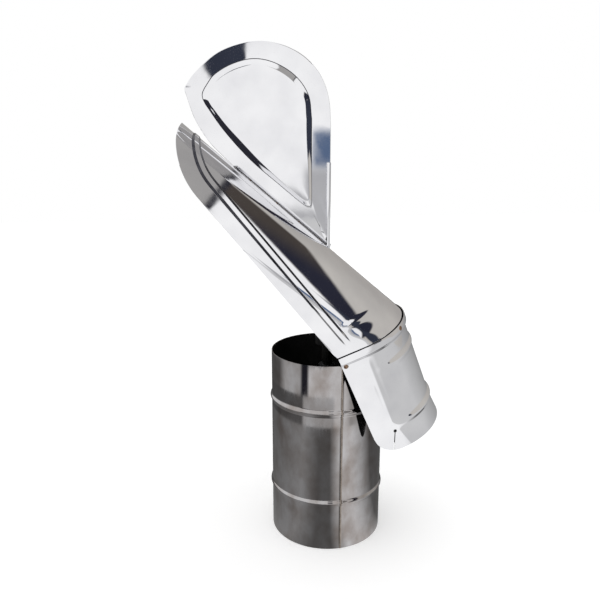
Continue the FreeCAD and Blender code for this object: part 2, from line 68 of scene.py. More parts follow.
def colour(hex_value):
    # sRGB hex to linear RGBA
    parts = [int(hex_value[i:i + 2], 16) / 255.0 for i in (1, 3, 5)]
    linear = [c / 12.92 if c <= 0.04045 else ((c + 0.055) / 1.055) ** 2.4 for c in parts]
    return (*linear, 1.0)


def node(tree, kind, settings=None, **links):
    # Adds a node, sets its properties or sockets, and links its inputs
    new = tree.nodes.new(kind)
    for key, value in (settings or {}).items():
        if isinstance(key, int) or key in new.inputs.keys():
            new.inputs[key].default_value = value
        else:
            setattr(new, key, value)
    for key, source in links.items():
        name = int(key[1:]) if key[1:].isdigit() else key.replace("_", " ")
        tree.links.new(source, new.inputs[name])
    return new


def blank_material(name):
    material = bpy.data.materials.new(name)
    material.use_nodes = True
    material.node_tree.nodes.clear()
    return material, material.node_tree


# Finishes

patch_noise = {"Scale": 1.0, "Detail": 3.0}
patch_range = {"From Min": 0.35, "From Max": 0.7}
grain_noise = {"Scale": 1.0, "Detail": 2.0}
grain_range = {"From Min": 0.3, "From Max": 0.7}


def metal_finish(name, base, stain, patch, grain, rough, metallic=1.0, wave=0.0):
    # Metal with soft patches of a second tone and a fine grain. Patch is the
    # size of a patch and grain that of the grain, in millimetres on each axis
    material, tree = blank_material(name)
    place = node(tree, "ShaderNodeTexCoord").outputs["Object"]
    wide_scale = [metre / side for side in patch]
    fine_scale = [metre / side for side in grain]
    wide = node(tree, "ShaderNodeMapping", {"Scale": wide_scale}, Vector=place)
    fine = node(tree, "ShaderNodeMapping", {"Scale": fine_scale}, Vector=place)
    patches = node(tree, "ShaderNodeTexNoise", patch_noise, Vector=wide.outputs[0])
    grains = node(tree, "ShaderNodeTexNoise", grain_noise, Vector=fine.outputs[0])
    share = node(tree, "ShaderNodeMapRange", patch_range, Value=patches.outputs[0])
    tones = {"data_type": "RGBA", 6: colour(base), 7: colour(stain)}
    tone = node(tree, "ShaderNodeMix", tones, i0=share.outputs[0])
    gloss_range = {**grain_range, "To Min": rough[0], "To Max": rough[1]}
    gloss = node(tree, "ShaderNodeMapRange", gloss_range, Value=grains.outputs[0])
    shader = node(tree, "ShaderNodeBsdfPrincipled", {"Metallic": metallic},
                  Base_Color=tone.outputs[2], Roughness=gloss.outputs[0])
    if wave:
        dents = node(tree, "ShaderNodeBump", {"Strength": wave, "Distance": mm}, Height=patches.outputs[0])
        tree.links.new(dents.outputs[0], shader.inputs["Normal"])
    node(tree, "ShaderNodeOutputMaterial", Surface=shader.outputs["BSDF"])
    return material


# Mirror-polished stainless sheet: sharp bright reflections, faint handling
# smudges and a slight waviness from pressing
hood_finish = metal_finish("polished_stainless", "#F0F0F2", "#E4E4E7", (45.0, 45.0, 45.0), (18.0, 18.0, 18.0),
                           (0.02, 0.06), wave=0.03)
# Mill-finish stainless of the pipe: greyer, streaked along its length, with
# soft brownish clouds
pipe_finish = metal_finish("streaked_stainless", "#B8B6B7", "#948C88", (24.0, 24.0, 36.0), (3.0, 3.0, 60.0),
                           (0.03, 0.09), wave=0.02)
# Painted dark reflection along the flanks of the pressed rib and the foot of the vane's panel,
# standing for the dark lines these walls mirror: dark grey, satin
painted_reflection_finish = metal_finish("painted_reflection_lines", "#4C4C52", "#38383E", (8.0, 8.0, 8.0), (2.0, 2.0, 2.0),
                           (0.25, 0.4))
# Weld seam: stainless tinted straw brown by the heat
weld_finish = metal_finish("heat_tinted_weld", "#A0978F", "#857A72", (4.0, 4.0, 9.0), (1.0, 1.0, 1.0),
                           (0.2, 0.35))
# Inside of the sheets: painted shade, matt and nearly black, for the shade inside the pipe and the hood
painted_shade_finish = metal_finish("painted_shade_stainless", "#232221", "#161514", (22.0, 22.0, 22.0), (3.0, 3.0, 3.0),
                           (0.6, 0.85), metallic=0.3)
# Blackened steel strip and bar: near black with a dull sheen; the black also stands in as painted shade for
# the shade they lie in inside the pipe
blackened_and_shade_finish = metal_finish("blackened_steel_and_shade", "#1C1B1A", "#121212", (15.0, 15.0, 15.0), (2.0, 2.0, 2.0),
                           (0.45, 0.65), metallic=0.7)
# Bright zinc plate on nuts and washers: bluish grey, lightly clouded
zinc_finish = metal_finish("bright_zinc", "#B9BBC0", "#9EA0A3", (6.0, 6.0, 6.0), (1.0, 1.0, 1.0),
                           (0.25, 0.42))
# Ground bearing steel: bright and fine, with a grain round its axis
bearing_finish = metal_finish("ground_steel", "#C8C8CB", "#B8B8BC", (5.0, 5.0, 0.6), (4.0, 4.0, 0.3),
                              (0.1, 0.2))
# Turned bronze of the bush and cage: brown gold with fine tool rings
bronze_finish = metal_finish("turned_bronze", "#A97F45", "#8F6A38", (5.0, 5.0, 0.8), (4.0, 4.0, 0.4),
                             (0.22, 0.36))
# Stainless rivets with a rusty tint round the set heads
rivet_finish = metal_finish("tinted_rivet", "#A4907E", "#7B573F", (3.0, 3.0, 3.0), (1.0, 1.0, 1.0),
                            (0.25, 0.4))

finishes = {
    "hood_sheet": hood_finish,
    "pipe_sheet": pipe_finish,
    "dark_steel": blackened_and_shade_finish,
    "zinc_fixings": zinc_finish,
    "bearing_steel": bearing_finish,
    "bronze": bronze_finish,
    "rivet_steel": rivet_finish,
}
for part in frame["record"]["subparts"]:
    skin = nodes[part["node"]].data.materials
    for place in range(len(skin)):
        skin[place] = finishes[part["material_slot"]]

# Pressing a sheet: a flat grid is laid down, each crossing is pressed to its
# place, and the skin is then given the sheet's thickness

weld_reach = 0.004
crease_angle = math.radians(40.0)
mark_slot = 2


def ease(value):
    held = min(1.0, max(0.0, value))
    return held * held * (3.0 - 2.0 * held)


def swell(away):
    # Round-backed rise: 1 in the middle, 0 from one half width outward
    return math.cos(min(1.0, away) * math.pi / 2.0) ** 2


def pressed_sheet(name, columns, rows, place, marked=None):
    bpy.ops.object.select_all(action="DESELECT")
    bpy.ops.mesh.primitive_grid_add(x_subdivisions=columns - 1, y_subdivisions=rows - 1, size=2.0)
    piece = bpy.context.object
    piece.name = name
    if marked:
        for face in piece.data.polygons:
            column = (face.center.x + 1.0) / 2.0 * (columns - 1)
            row = (face.center.y + 1.0) / 2.0 * (rows - 1)
            face.material_index = mark_slot if marked(column, row) else 0
    for vertex in piece.data.vertices:
        column = round((vertex.co.x + 1.0) / 2.0 * (columns - 1))
        row = round((vertex.co.y + 1.0) / 2.0 * (rows - 1))
        vertex.co = place(column, row) * mm
    bpy.ops.object.mode_set(mode="EDIT")
    bpy.ops.mesh.select_all(action="SELECT")
    bpy.ops.mesh.remove_doubles(threshold=weld_reach * mm)
    bpy.ops.object.mode_set(mode="OBJECT")
    return piece


def finish_sheet(piece, outside, inside, body, slot, *stands_for, mark=None):
    for finish in (outside, inside, mark, inside):
        if finish:
            piece.data.materials.append(finish)
    thick = piece.modifiers.new("thickness", "SOLIDIFY")
    thick.thickness = sheet * mm
    thick.offset = -1.0
    thick.material_offset = 1
    bpy.ops.object.modifier_apply(modifier="thickness")
    bpy.ops.object.shade_smooth_by_angle(angle=crease_angle)
    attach(piece, body)
    if stands_for:
        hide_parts(*stands_for)


# Pipe: a rolled tube with two swaged beads and one weld seam

pipe_bead_height = 2.1
pipe_bead_half = 5.2
pipe_bead_levels = (66.0, 191.5)
pipe_bead_steps = 9
pipe_bead_guards = (1.2, 0.3)
pipe_plain_columns = 150
seam_angle = math.radians(-86.5)
seam_height = 0.4
seam_half = 0.5
seam_fade = 1.0
seam_columns = (0.5, 1.0, 1.5, 3.0, 6.0)
# The heat tint lies between these columns
tint_first = 2
tint_last = 7


def flue_pipe():
    offsets = [-offset for offset in reversed(seam_columns)] + list(seam_columns)
    around = [seam_angle + offset / pipe_radius for offset in offsets]
    first = around[-1]
    gap = 2.0 * math.pi - (around[-1] - around[0])
    plain = pipe_plain_columns
    around += [first + gap * step / plain for step in range(1, plain + 1)]
    heights = [0.0]
    for level in pipe_bead_levels:
        guard = [level - pipe_bead_half - off for off in pipe_bead_guards]
        steps = range(2 * pipe_bead_steps + 1)
        bead = [level + pipe_bead_half * (step / pipe_bead_steps - 1.0) for step in steps]
        heights += guard + bead + [2.0 * level - height for height in reversed(guard)]
    heights.append(pipe_length)

    def place(column, row):
        angle = around[column]
        height = heights[row]
        radius = pipe_radius
        for level in pipe_bead_levels:
            radius += pipe_bead_height * swell(abs(height - level) / pipe_bead_half)
        off = abs(angle - seam_angle) * pipe_radius
        radius += seam_height * (1.0 - ease((off - seam_half) / seam_fade))
        return Vector((radius * math.cos(angle), radius * math.sin(angle), height))

    def on_seam(column, row):
        return tint_first < column < tint_last

    return pressed_sheet("flue_pipe_skin", len(around), len(heights), place, on_seam)


# The pipe's inside takes the painted shade finish, dark as the shade inside the tube
finish_sheet(flue_pipe(), pipe_finish, painted_shade_finish, "base", "pipe_sheet", "base_pipe", mark=weld_finish)

# Hood: one U line, with flat wings and a round back. Each pair is a size at
# the skirt's top and at its bottom

skirt_top = 15.0
skirt_bottom = -137.6
hood_half_width = (87.0, 77.4)
wing_edge = (0.9, 9.0)
wing_width = (32.0, 28.5)
hood_back = (109.5, 109.0)
wing_share = 0.8
normal_step = 0.004


def at_level(pair, level):
    top, bottom = pair
    return bottom + (top - bottom) * (level - skirt_bottom) / (skirt_top - skirt_bottom)


def u_line(share, level, out, bulge):
    # Point of the U: share -1 at the near free edge, 0 at the back, 1 at the far free edge
    width = at_level(hood_half_width, level) + out
    edge = at_level(wing_edge, level)
    wing = at_level(wing_width, level) + bulge
    back = at_level(hood_back, level) + bulge + out
    reach = min(1.0, abs(share))
    side = math.copysign(width, share)
    if reach > wing_share:
        along = edge + wing * (1.0 - reach) / (1.0 - wing_share)
    else:
        turn = reach / wing_share * math.pi / 2.0
        along = edge + wing + (back - edge - wing) * math.cos(turn)
        side *= math.sin(turn)
    return rim + skirt_axis * level + inward * along + across * side


def u_normal(share, level, axis):
    ahead = u_line(min(1.0, share + normal_step), level, 0.0, 0.0)
    behind = u_line(max(-1.0, share - normal_step), level, 0.0, 0.0)
    return (ahead - behind).cross(axis).normalized()


def share_of(column, columns):
    return column / (columns - 1) * 2.0 - 1.0


# Skirt: beads swaged round the back, a fold line between wing and back, a
# flared lip, and a joggled top band that takes the roof's edge

skirt_columns = 241
upper_bead = (-22.5, 2.0)
lower_bead = (-103.0, 3.0)
skirt_bead_half = 7.0
skirt_bead_rows = 15
bead_end = 75.0
back_half = 118.0
wing_corner = 27.0
lip_start = lower_bead[0] - skirt_bead_half
lip_flare = 3.0
fold_height = 0.65
fold_width = 4.0
fold_bottom = -108.0
fold_bottom_fade = 12.0
fold_top = 2.0
fold_top_fade = 8.0
joggle = 3.8
joggle_start = 1.0
joggle_run = 6.0
edge_turn = 0.2
edge_turn_start = 12.5


def skirt_levels():
    # Rows of the sheet from the lip up, closest at the beads and at the top band
    lip_rows = [skirt_bottom, -134.0, -129.0, -123.0, -117.0, -111.5]
    lower_rows = [lip_start + step for step in range(skirt_bead_rows)]
    wall_rows = [-95.5, -94.5] + [-90.0 + 9.0 * step for step in range(7)] + [-31.0, -30.0]
    upper_rows = [upper_bead[0] - skirt_bead_half + step for step in range(skirt_bead_rows)]
    band_rows = [-15.0, -14.0, -11.0, -8.0, -4.0, -1.0] + list(range(8)) + [10.0, 12.5, 13.5, 14.3, skirt_top]
    return lip_rows + lower_rows + wall_rows + upper_rows + band_rows


def skirt_skin():
    levels = skirt_levels()
    wing = wing_width[1]

    def place(column, row):
        share = share_of(column, skirt_columns)
        reach = abs(share)
        low = skirt_bottom
        from_fold = (wing_share - reach) / wing_share * back_half
        if reach > wing_share:
            from_edge = wing * (1.0 - reach) / (1.0 - wing_share)
            from_fold = from_edge - wing
            if from_edge < wing_corner:
                low += wing_corner - math.sqrt(wing_corner ** 2 - (wing_corner - from_edge) ** 2)
        level = skirt_top - (skirt_top - levels[row]) * (skirt_top - low) / (skirt_top - skirt_bottom)
        rise = fold_height * math.exp(-(from_fold / fold_width) ** 2)
        rise *= ease((level - fold_bottom) / fold_bottom_fade) * ease((fold_top - level) / fold_top_fade)
        for middle, height in (upper_bead, lower_bead):
            rise += height * swell(abs(level - middle) / skirt_bead_half) * ease(from_fold / bead_end)
        bulge = lip_flare * max(0.0, (lip_start - level) / (lip_start - skirt_bottom))
        out = joggle * ease((level - joggle_start) / joggle_run)
        out -= edge_turn * max(0.0, (level - edge_turn_start) / (skirt_top - edge_turn_start)) ** 2
        return u_line(share, level, out, bulge) + u_normal(share, level, skirt_axis) * rise

    return pressed_sheet("hood_skirt_skin", skirt_columns, len(levels), place)


# Slit and relief hole where the lip leaves the flat wing, through both sides

slit_width = 1.2
slit_length = 50.0
slit_hole_radius = 2.2
cutter_length = 0.3


def slit_tools():
    fold = at_level(wing_edge, lip_start) + at_level(wing_width, lip_start)
    hole = rim + skirt_axis * lip_start + inward * fold
    bpy.ops.object.select_all(action="DESELECT")
    bpy.ops.mesh.primitive_cylinder_add(radius=slit_hole_radius * mm, depth=cutter_length,
                                        location=hole * mm, rotation=(math.pi / 2.0, 0, 0))
    drill = bpy.context.object
    bpy.ops.object.transform_apply(location=True, rotation=True, scale=True)
    bpy.ops.object.select_all(action="DESELECT")
    saw_place = (hole.x * mm, 0.0, (hole.z - slit_length / 2.0) * mm)
    bpy.ops.mesh.primitive_cube_add(size=1.0, location=saw_place)
    saw = bpy.context.object
    saw.scale = (slit_width * mm, cutter_length, slit_length * mm)
    bpy.ops.object.transform_apply(location=True, rotation=True, scale=True)
    return [drill, saw]


def cut_slit(piece):
    for tool in slit_tools():
        bpy.ops.object.select_all(action="DESELECT")
        bpy.context.view_layer.objects.active = piece
        piece.select_set(True)
        cut = piece.modifiers.new("cut", "BOOLEAN")
        cut.operation = "DIFFERENCE"
        cut.object = tool
        bpy.ops.object.modifier_apply(modifier="cut")
        bpy.data.objects.remove(tool)


skirt_piece = skirt_skin()
# The skirt's inside takes the painted shade finish
finish_sheet(skirt_piece, hood_finish, painted_shade_finish, "hood", "hood_sheet", "hood_skirt")
cut_slit(skirt_piece)

# Strips spot-welded behind the slits, in the painted shade finish, so that the lip leaves no open gap and the
# slits show painted shade

backing_widths = (-7.0, -3.5, 0.0, 3.5, 7.0)
backing_levels = (-134.0, -126.0, -118.0, -110.0, -104.0)
backing_gap = 1.2
share_per_mm = 0.0062


def shade_strip_behind_slit(side):
    def place(column, row):
        share = (wing_share - side * share_per_mm * backing_widths[column]) * side
        return u_line(share, backing_levels[row], -sheet - backing_gap, 0.0)

    return pressed_sheet("painted_shade_slit_strip", len(backing_widths), len(backing_levels), place)


for side in (-1.0, 1.0):
    finish_sheet(shade_strip_behind_slit(side), painted_shade_finish, painted_shade_finish, "hood", "hood_sheet")

# Joint rivets: domed heads on the joggled band

rivet_angles = (-44.0, 0.0, 44.0)
rivet_level = 10.5
rivet_head_radius = 3.2
rivet_head_height = 1.3
rivet_columns = 33
rivet_rows = 9


def joint_rivet(angle):
    share = angle / 90.0 * wing_share
    middle = u_line(share, rivet_level, joggle, 0.0)
    out = u_normal(share, rivet_level, skirt_axis)
    side = out.cross(skirt_axis).normalized()
    upward = out.cross(side)

    def place(column, row):
        turn = 2.0 * math.pi * column / (rivet_columns - 1)
        reach = 1.0 - row / (rivet_rows - 1)
        rise = rivet_head_height * math.sqrt(max(0.0, 1.0 - reach * reach))
        spoke = side * math.cos(turn) + upward * math.sin(turn)
        return middle + spoke * (rivet_head_radius * reach) + out * rise

    return pressed_sheet("joint_rivet_head", rivet_columns, rivet_rows, place)


heads = [joint_rivet(angle) for angle in rivet_angles]
for head in heads:
    head.select_set(True)
bpy.ops.object.join()
finish_sheet(bpy.context.object, rivet_finish, rivet_finish, "hood", "rivet_steel", "joint_rivets")

# Roof: the same U line carried up the slope and trimmed as a scoop, with a
# rib along its border and a shallow swage above the joint

roof_columns = 221
roof_collar_rows = (6.0, 3.0)
joint_row_step = 1.5
joint_rows = 41
spread_rows = 16
eave_length = 257.5
nose_radius = 95.0
tip_radius = 42.0
eave_level = roof_bend - roof_collar
eave_start = rim + skirt_axis * eave_level + inward * at_level(wing_edge, eave_level)
nose_centre = eave_start + Vector((-math.cos(eave), 0, math.sin(eave))) * eave_length
nose_centre += Vector((math.sin(eave), 0, math.cos(eave))) * nose_radius
tip_centre = nose_centre - Vector((nose_radius - tip_radius, 0, 0))
scoop_reach = 480.0
halvings = 36
rib_height = 1.2
rib_middle = 22.2
rib_crown = 2.4
rib_foot = 5.0
rib_start = 12.0
rib_fade = 14.0
painted_line_start = 14.0
rib_flank = (6.2, 5.3, 5.0, 4.5, 3.7, 2.9, 2.4, 2.1)
rib_offsets = rib_flank + (0.0,) + tuple(-offset for offset in reversed(rib_flank))
edge_insets = (12.0, 8.0, 6.0, 4.5, 3.0, 1.5, 0.7, 0.0)
border_insets = tuple(rib_middle + offset for offset in rib_offsets) + edge_insets
eave_roll = 0.7
eave_roll_width = 6.0
eave_roll_start = 12.0
eave_roll_end = 170.0
# Two low waves above the joint: middle, half width and height
swage = ((16.0, 17.0, 0.3), (38.5, 6.5, 0.24))
swage_end = 0.97
swage_fade = 0.15


def inside_scoop(point, inset):
    away = point - eave_start
    along = away.z * math.sin(eave) - away.x * math.cos(eave)
    depth = away.x * math.sin(eave) + away.z * math.cos(eave)
    if depth < inset:
        return False
    if along < eave_length:
        return True
    if point.z < nose_centre.z:
        return math.hypot(point.x - nose_centre.x, point.z - nose_centre.z) < nose_radius - inset
    off = point - tip_centre
    return off.x > 0.0 or math.hypot(off.x, off.z) < tip_radius - inset


def scoop_end(start, inset):
    # How far up the slope the sheet runs before it meets the trimmed border
    if not inside_scoop(start, inset):
        return 0.0
    low = 0.0
    high = scoop_reach
    for halving in range(halvings):
        middle = (low + high) / 2.0
        if inside_scoop(start + roof_axis * middle, inset):
            low = middle
        else:
            high = middle
    return low


def rib_rise(inset):
    return ease((rib_foot - abs(inset - rib_middle)) / (rib_foot - rib_crown))


def eave_turn(up):
    # The eave's edge is rolled in most above the joint and less toward the nose
    return ease(up / eave_roll_start) * ease((eave_roll_end - up) / eave_roll_end)


def swage_rise(up):
    return sum(height * swell(abs(up - middle) / half) for middle, half, height in swage)


def roof_skin():
    near_joint = [joint_row_step * step for step in range(joint_rows)]
    rows = [("collar", down) for down in roof_collar_rows]
    rows += [("up", up) for up in near_joint]
    rows += [("share", (step + 1) / spread_rows) for step in range(spread_rows)]
    rows += [("inset", inset) for inset in border_insets]
    starts = []
    ends = []
    for column in range(roof_columns):
        start = u_line(share_of(column, roof_columns), roof_bend, roof_out, 0.0)
        flat = Vector((start.x, 0.0, start.z))
        starts.append(start)
        ends.append({inset: scoop_end(flat, inset) for inset in border_insets})

    def place(column, row):
        kind, value = rows[row]
        share = share_of(column, roof_columns)
        start = starts[column]
        if kind == "collar":
            return start - skirt_axis * value
        last = ends[column][border_insets[0]]
        reach = min(last, near_joint[-1])
        rise = 0.0
        if kind == "up":
            up = min(value, last)
            rise = swage_rise(up) * ease((swage_end - abs(share)) / swage_fade)
        elif kind == "share":
            up = reach + (last - reach) * value
        else:
            up = ends[column][value]
            rise = rib_height * rib_rise(value) * ease((up - rib_start) / rib_fade)
            rise -= eave_roll * max(0.0, 1.0 - value / eave_roll_width) ** 2 * eave_turn(up)
        return start + roof_axis * up + u_normal(share, roof_bend, roof_axis) * rise

    # Faces on the rib's flanks, which get the painted dark reflection
    def on_painted_flank(column, row):
        first, last = rows[int(row)], rows[int(row) + 1]
        if first[0] != "inset" or last[0] != "inset":
            return False
        flank = rib_crown < abs((first[1] + last[1]) / 2.0 - rib_middle) < rib_foot
        reach = ends[int(column)][border_insets[0]]
        return flank and reach > painted_line_start

    return pressed_sheet("hood_roof_skin", roof_columns, len(rows), place, on_painted_flank)


# The roof's inside is in painted shade and its rib flanks in painted dark reflection
finish_sheet(roof_skin(), hood_finish, painted_shade_finish, "hood", "hood_sheet", "hood_roof", mark=painted_reflection_finish)

# Tail vane: a teardrop plate with a raised panel, its border dished back and
# its foot folded over the ridge

ridge_base = rim + skirt_axis * roof_bend + inward * (at_level(hood_back, roof_bend) + roof_out)
ridge_zero = ridge_base.z + ridge_base.x * math.tan(slope)
ridge_up = Vector((math.sin(slope), math.cos(slope)))
vane_edge = 2.0
vane_foot = 118.0
vane_toe = (vane_edge, -vane_edge * math.tan(slope))
vane_heel = (-vane_foot, vane_foot * math.tan(slope))
vane_top = [(vane_edge, 152.0), (-0.4, 182.6), (-9.8, 209.2), (-28.5, 230.8), (-54.0, 244.5), (-83.0, 249.3),
            (-112.4, 244.8), (-140.3, 232.5), (-163.9, 211.5), (-173.6, 198.9)]
vane_tip = [vane_top[-1], (-175.5, 196.2), (-176.2, 194.2), (-176.0, 191.5), (-174.9, 188.2)]
vane_low = [vane_tip[-1], (-165.2, 159.2), (-149.2, 132.8), (-132.0, 114.8), vane_heel]
panel_side_line = [(-24.0, 52.6), (-22.2, 59.0), (-22.2, 110.0), (-22.2, 160.2)]
panel_top = [panel_side_line[-1], (-26.3, 188.0), (-42.2, 210.2), (-67.4, 225.0), (-93.5, 229.4),
             (-119.5, 222.9), (-141.1, 210.2), (-152.5, 195.5)]
panel_tip = [panel_top[-1], (-155.3, 190.0), (-155.9, 186.0), (-155.0, 181.5), (-152.2, 175.7)]
panel_low = [panel_tip[-1], (-130.6, 145.1), (-99.0, 110.3), (-61.6, 78.6), (-33.0, 55.5), panel_side_line[0]]
panel_middle = Vector((-75.0, 155.0))
panel_raise = 2.2
panel_side = 8.0
panel_crown = 0.5
# The wall's section: how far along it, and how far up, each as a share
wall_shape = ((0.05, 0.01), (0.12, 0.07), (0.5, 0.5), (0.88, 0.93), (0.95, 0.99), (1.0, 1.0))
border_dish = 1.7
dish_run = 45.0
edge_bend = 0.4
foot_bend = 3.4
foot_gap = 0.1
flange_width = 11.0
flange_drop = 1.0
# Columns along the straight edge, the top, the tip, the lower edge and the foot
edge_columns = 40
top_columns = 90
tip_columns = 16
low_columns = 34
foot_columns = 62
bend_rows = (90.0, 60.0, 30.0)
border_rows = (1.0, 0.97, 0.8, 0.6, 0.4, 0.2, 0.04, 0.0)
panel_rows = (0.98, 0.85, 0.65, 0.45, 0.25, 0.0)
curve_steps = 16


def smooth_line(points, count):
    # Evenly spread points along a smooth curve through the given ones
    line = [Vector(point) for point in points]
    line = [line[0] * 2.0 - line[1]] + line + [line[-1] * 2.0 - line[-2]]
    fine = []
    for a, b, c, d in zip(line, line[1:], line[2:], line[3:]):
        for step in range(curve_steps):
            t = step / curve_steps
            fine.append((b * 2.0 + (c - a) * t + (a * 2.0 - b * 5.0 + c * 4.0 - d) * t * t
                         + (b * 3.0 - a - c * 3.0 + d) * t * t * t) * 0.5)
    fine.append(line[-2])
    lengths = [0.0]
    for before, after in zip(fine, fine[1:]):
        lengths.append(lengths[-1] + (after - before).length)
    even = []
    spot = 0
    for step in range(count):
        goal = lengths[-1] * step / count
        while lengths[spot + 1] < goal:
            spot += 1
        part = (goal - lengths[spot]) / (lengths[spot + 1] - lengths[spot])
        even.append(fine[spot].lerp(fine[spot + 1], part))
    return even


def tail_vane_skin():
    outer = smooth_line([vane_toe, vane_top[0]], edge_columns) + smooth_line(vane_top, top_columns)
    outer += smooth_line(vane_tip, tip_columns) + smooth_line(vane_low, low_columns)
    foot_first = len(outer)
    outer += smooth_line([vane_heel, vane_toe], foot_columns)
    inner = smooth_line(panel_side_line, edge_columns) + smooth_line(panel_top, top_columns)
    inner += smooth_line(panel_tip, tip_columns) + smooth_line(panel_low, low_columns + foot_columns)
    loop = len(outer)
    rows = [("flange", 1.0)] + [("bend", turn) for turn in bend_rows]
    rows += [("border", share) for share in border_rows]
    rows += [("wall", step) for step in range(len(wall_shape))]
    rows += [("panel", share) for share in panel_rows]

    def place(column, row):
        kind, value = rows[row]
        column = column % loop
        edge = outer[column]
        start = inner[column]
        travel = outer[(column + 2) % loop] - outer[column - 2]
        away = Vector((travel.y, -travel.x)).normalized()
        dish = border_dish * ease(edge.dot(ridge_up) / dish_run)
        bend = edge_bend
        on_foot = column >= foot_first
        if on_foot:
            away = ridge_up * -1.0
            edge = edge + ridge_up * (sheet + foot_gap)
            bend = foot_bend
        back = -sheet / 2.0
        flat = edge
        if kind == "flange":
            back += dish + bend
            if on_foot:
                back += flange_width
                flat = edge - ridge_up * flange_drop
        elif kind == "bend":
            turn = math.radians(value)
            flat = edge - away * (bend * (1.0 - math.sin(turn)))
            back += dish + bend * (1.0 - math.cos(turn))
        elif kind == "border":
            flat = start.lerp(edge - away * bend, value)
            back += dish * value
        else:
            reach = (start - panel_middle).length
            top = panel_middle + (start - panel_middle) * ((reach - panel_side) / reach)
            if kind == "wall":
                along, rise = wall_shape[value]
                flat = start.lerp(top, along)
                back -= panel_raise * rise
            else:
                flat = panel_middle.lerp(top, value)
                back -= panel_raise + panel_crown * (1.0 - value * value)
        return Vector((flat.x, back, ridge_zero + flat.y))

    wall_foot = rows.index(("border", 0.0))

    # Rows at the foot of the panel's wall, which get the painted dark reflection
    def on_painted_foot_line(column, row):
        return wall_foot < row < wall_foot + 2

    return pressed_sheet("tail_vane_skin", loop + 1, len(rows), place, on_painted_foot_line)


# The foot line of the panel's wall is in painted dark reflection
finish_sheet(tail_vane_skin(), hood_finish, hood_finish, "hood", "hood_sheet", "tail_vane", mark=painted_reflection_finish)

# Hem: a doubled strip along the lower part of the vane's straight edge

hem_profile = ((-2.6, -0.45), (-2.4, -1.15), (-1.9, -1.35), (1.5, -1.35), (2.0, -1.15), (2.2, -0.45))
hem_bottom = vane_toe[1] + 3.5
hem_middle = 40.0
hem_top = 107.4
hem_round = 0.5


def vane_hem():
    heights = (hem_bottom, hem_bottom + hem_round, hem_middle, hem_top - hem_round, hem_top)

    def place(column, row):
        x, y = hem_profile[column]
        return Vector((x, y, ridge_zero + heights[row]))

    return pressed_sheet("vane_hem_strip", len(hem_profile), len(heights), place)


finish_sheet(vane_hem(), hood_finish, hood_finish, "hood", "hood_sheet")

# Camera at the photograph's place

camera_data = bpy.data.cameras.new("camera")
camera_data.lens = 38.04
camera_data.sensor_width = 36.0
camera = bpy.data.objects.new("camera", camera_data)
camera.location = (-0.1642, -0.8017, 0.5168)
camera.rotation_euler = (math.radians(76.59), 0.0, math.radians(-9.0))
scene.collection.objects.link(camera)
scene.camera = camera

# Studio: white all round, with a dark panel above the roof's slope and a few
# cards that the polished sheet mirrors; the background itself shows plain white

white = "#FFFFFF"
room_light = 0.9
# Straight edges on the slope's dome: share of the turn, share of the rise,
# offset and softness, the last two in degrees
white_end = (1.0, -3.44, 95.7, 3.0)
grey_fade = (1.0, 0.0, 118.0, 40.0)
dark_end = (-1.0, 0.0, -109.0, 3.0)
dark_corner = (-1.0, 7.1, -200.7, 5.0)
dark_foot = (0.0, 1.0, -23.5, 0.7)
brown_fade = (1.0, 3.0, 45.0, 25.0)
nose_side = (1.0, 0.0, 24.0, 4.0)
nose_top = (0.0, -1.0, -7.0, 1.0)
nose_line = (0.0, 1.0, -4.2, 0.2)
nose_foot = (0.0, 1.0, -3.5, 0.3)
warm_grey = "#C8C4BE"
far_grey = "#ACA8A4"
panel_blue = "#2A2B38"
panel_brown = "#4A4440"
nose_dark = "#2E2E36"
nose_grey = "#A8A6A4"
card_dark = "#343845"
card_grey = "#B8B8BA"
card_blue = "#5C6E8C"
# Cards: left, right, low and high side and softness in degrees, and colour
cards = [
    (-7.2, 2.4, 12.5, 30.0, 0.4, card_dark),
    (34.0, 52.0, -10.0, 12.0, 1.5, card_dark),
    (5.0, 27.0, -9.0, -5.2, 0.6, card_grey),
    (11.6, 27.0, -7.0, -1.5, 0.8, card_grey),
    (18.3, 27.0, -1.5, 1.6, 0.5, card_blue),
]


def turn_from_front(tree, axes):
    # Angle round the upright axis, 0 at the front and growing to the right
    minus_y = node(tree, "ShaderNodeMath", {"operation": "MULTIPLY", 1: -1.0}, i0=axes.outputs["Y"])
    turn = node(tree, "ShaderNodeMath", {"operation": "ARCTAN2"}, i0=axes.outputs["X"], i1=minus_y.outputs[0])
    return turn.outputs[0]


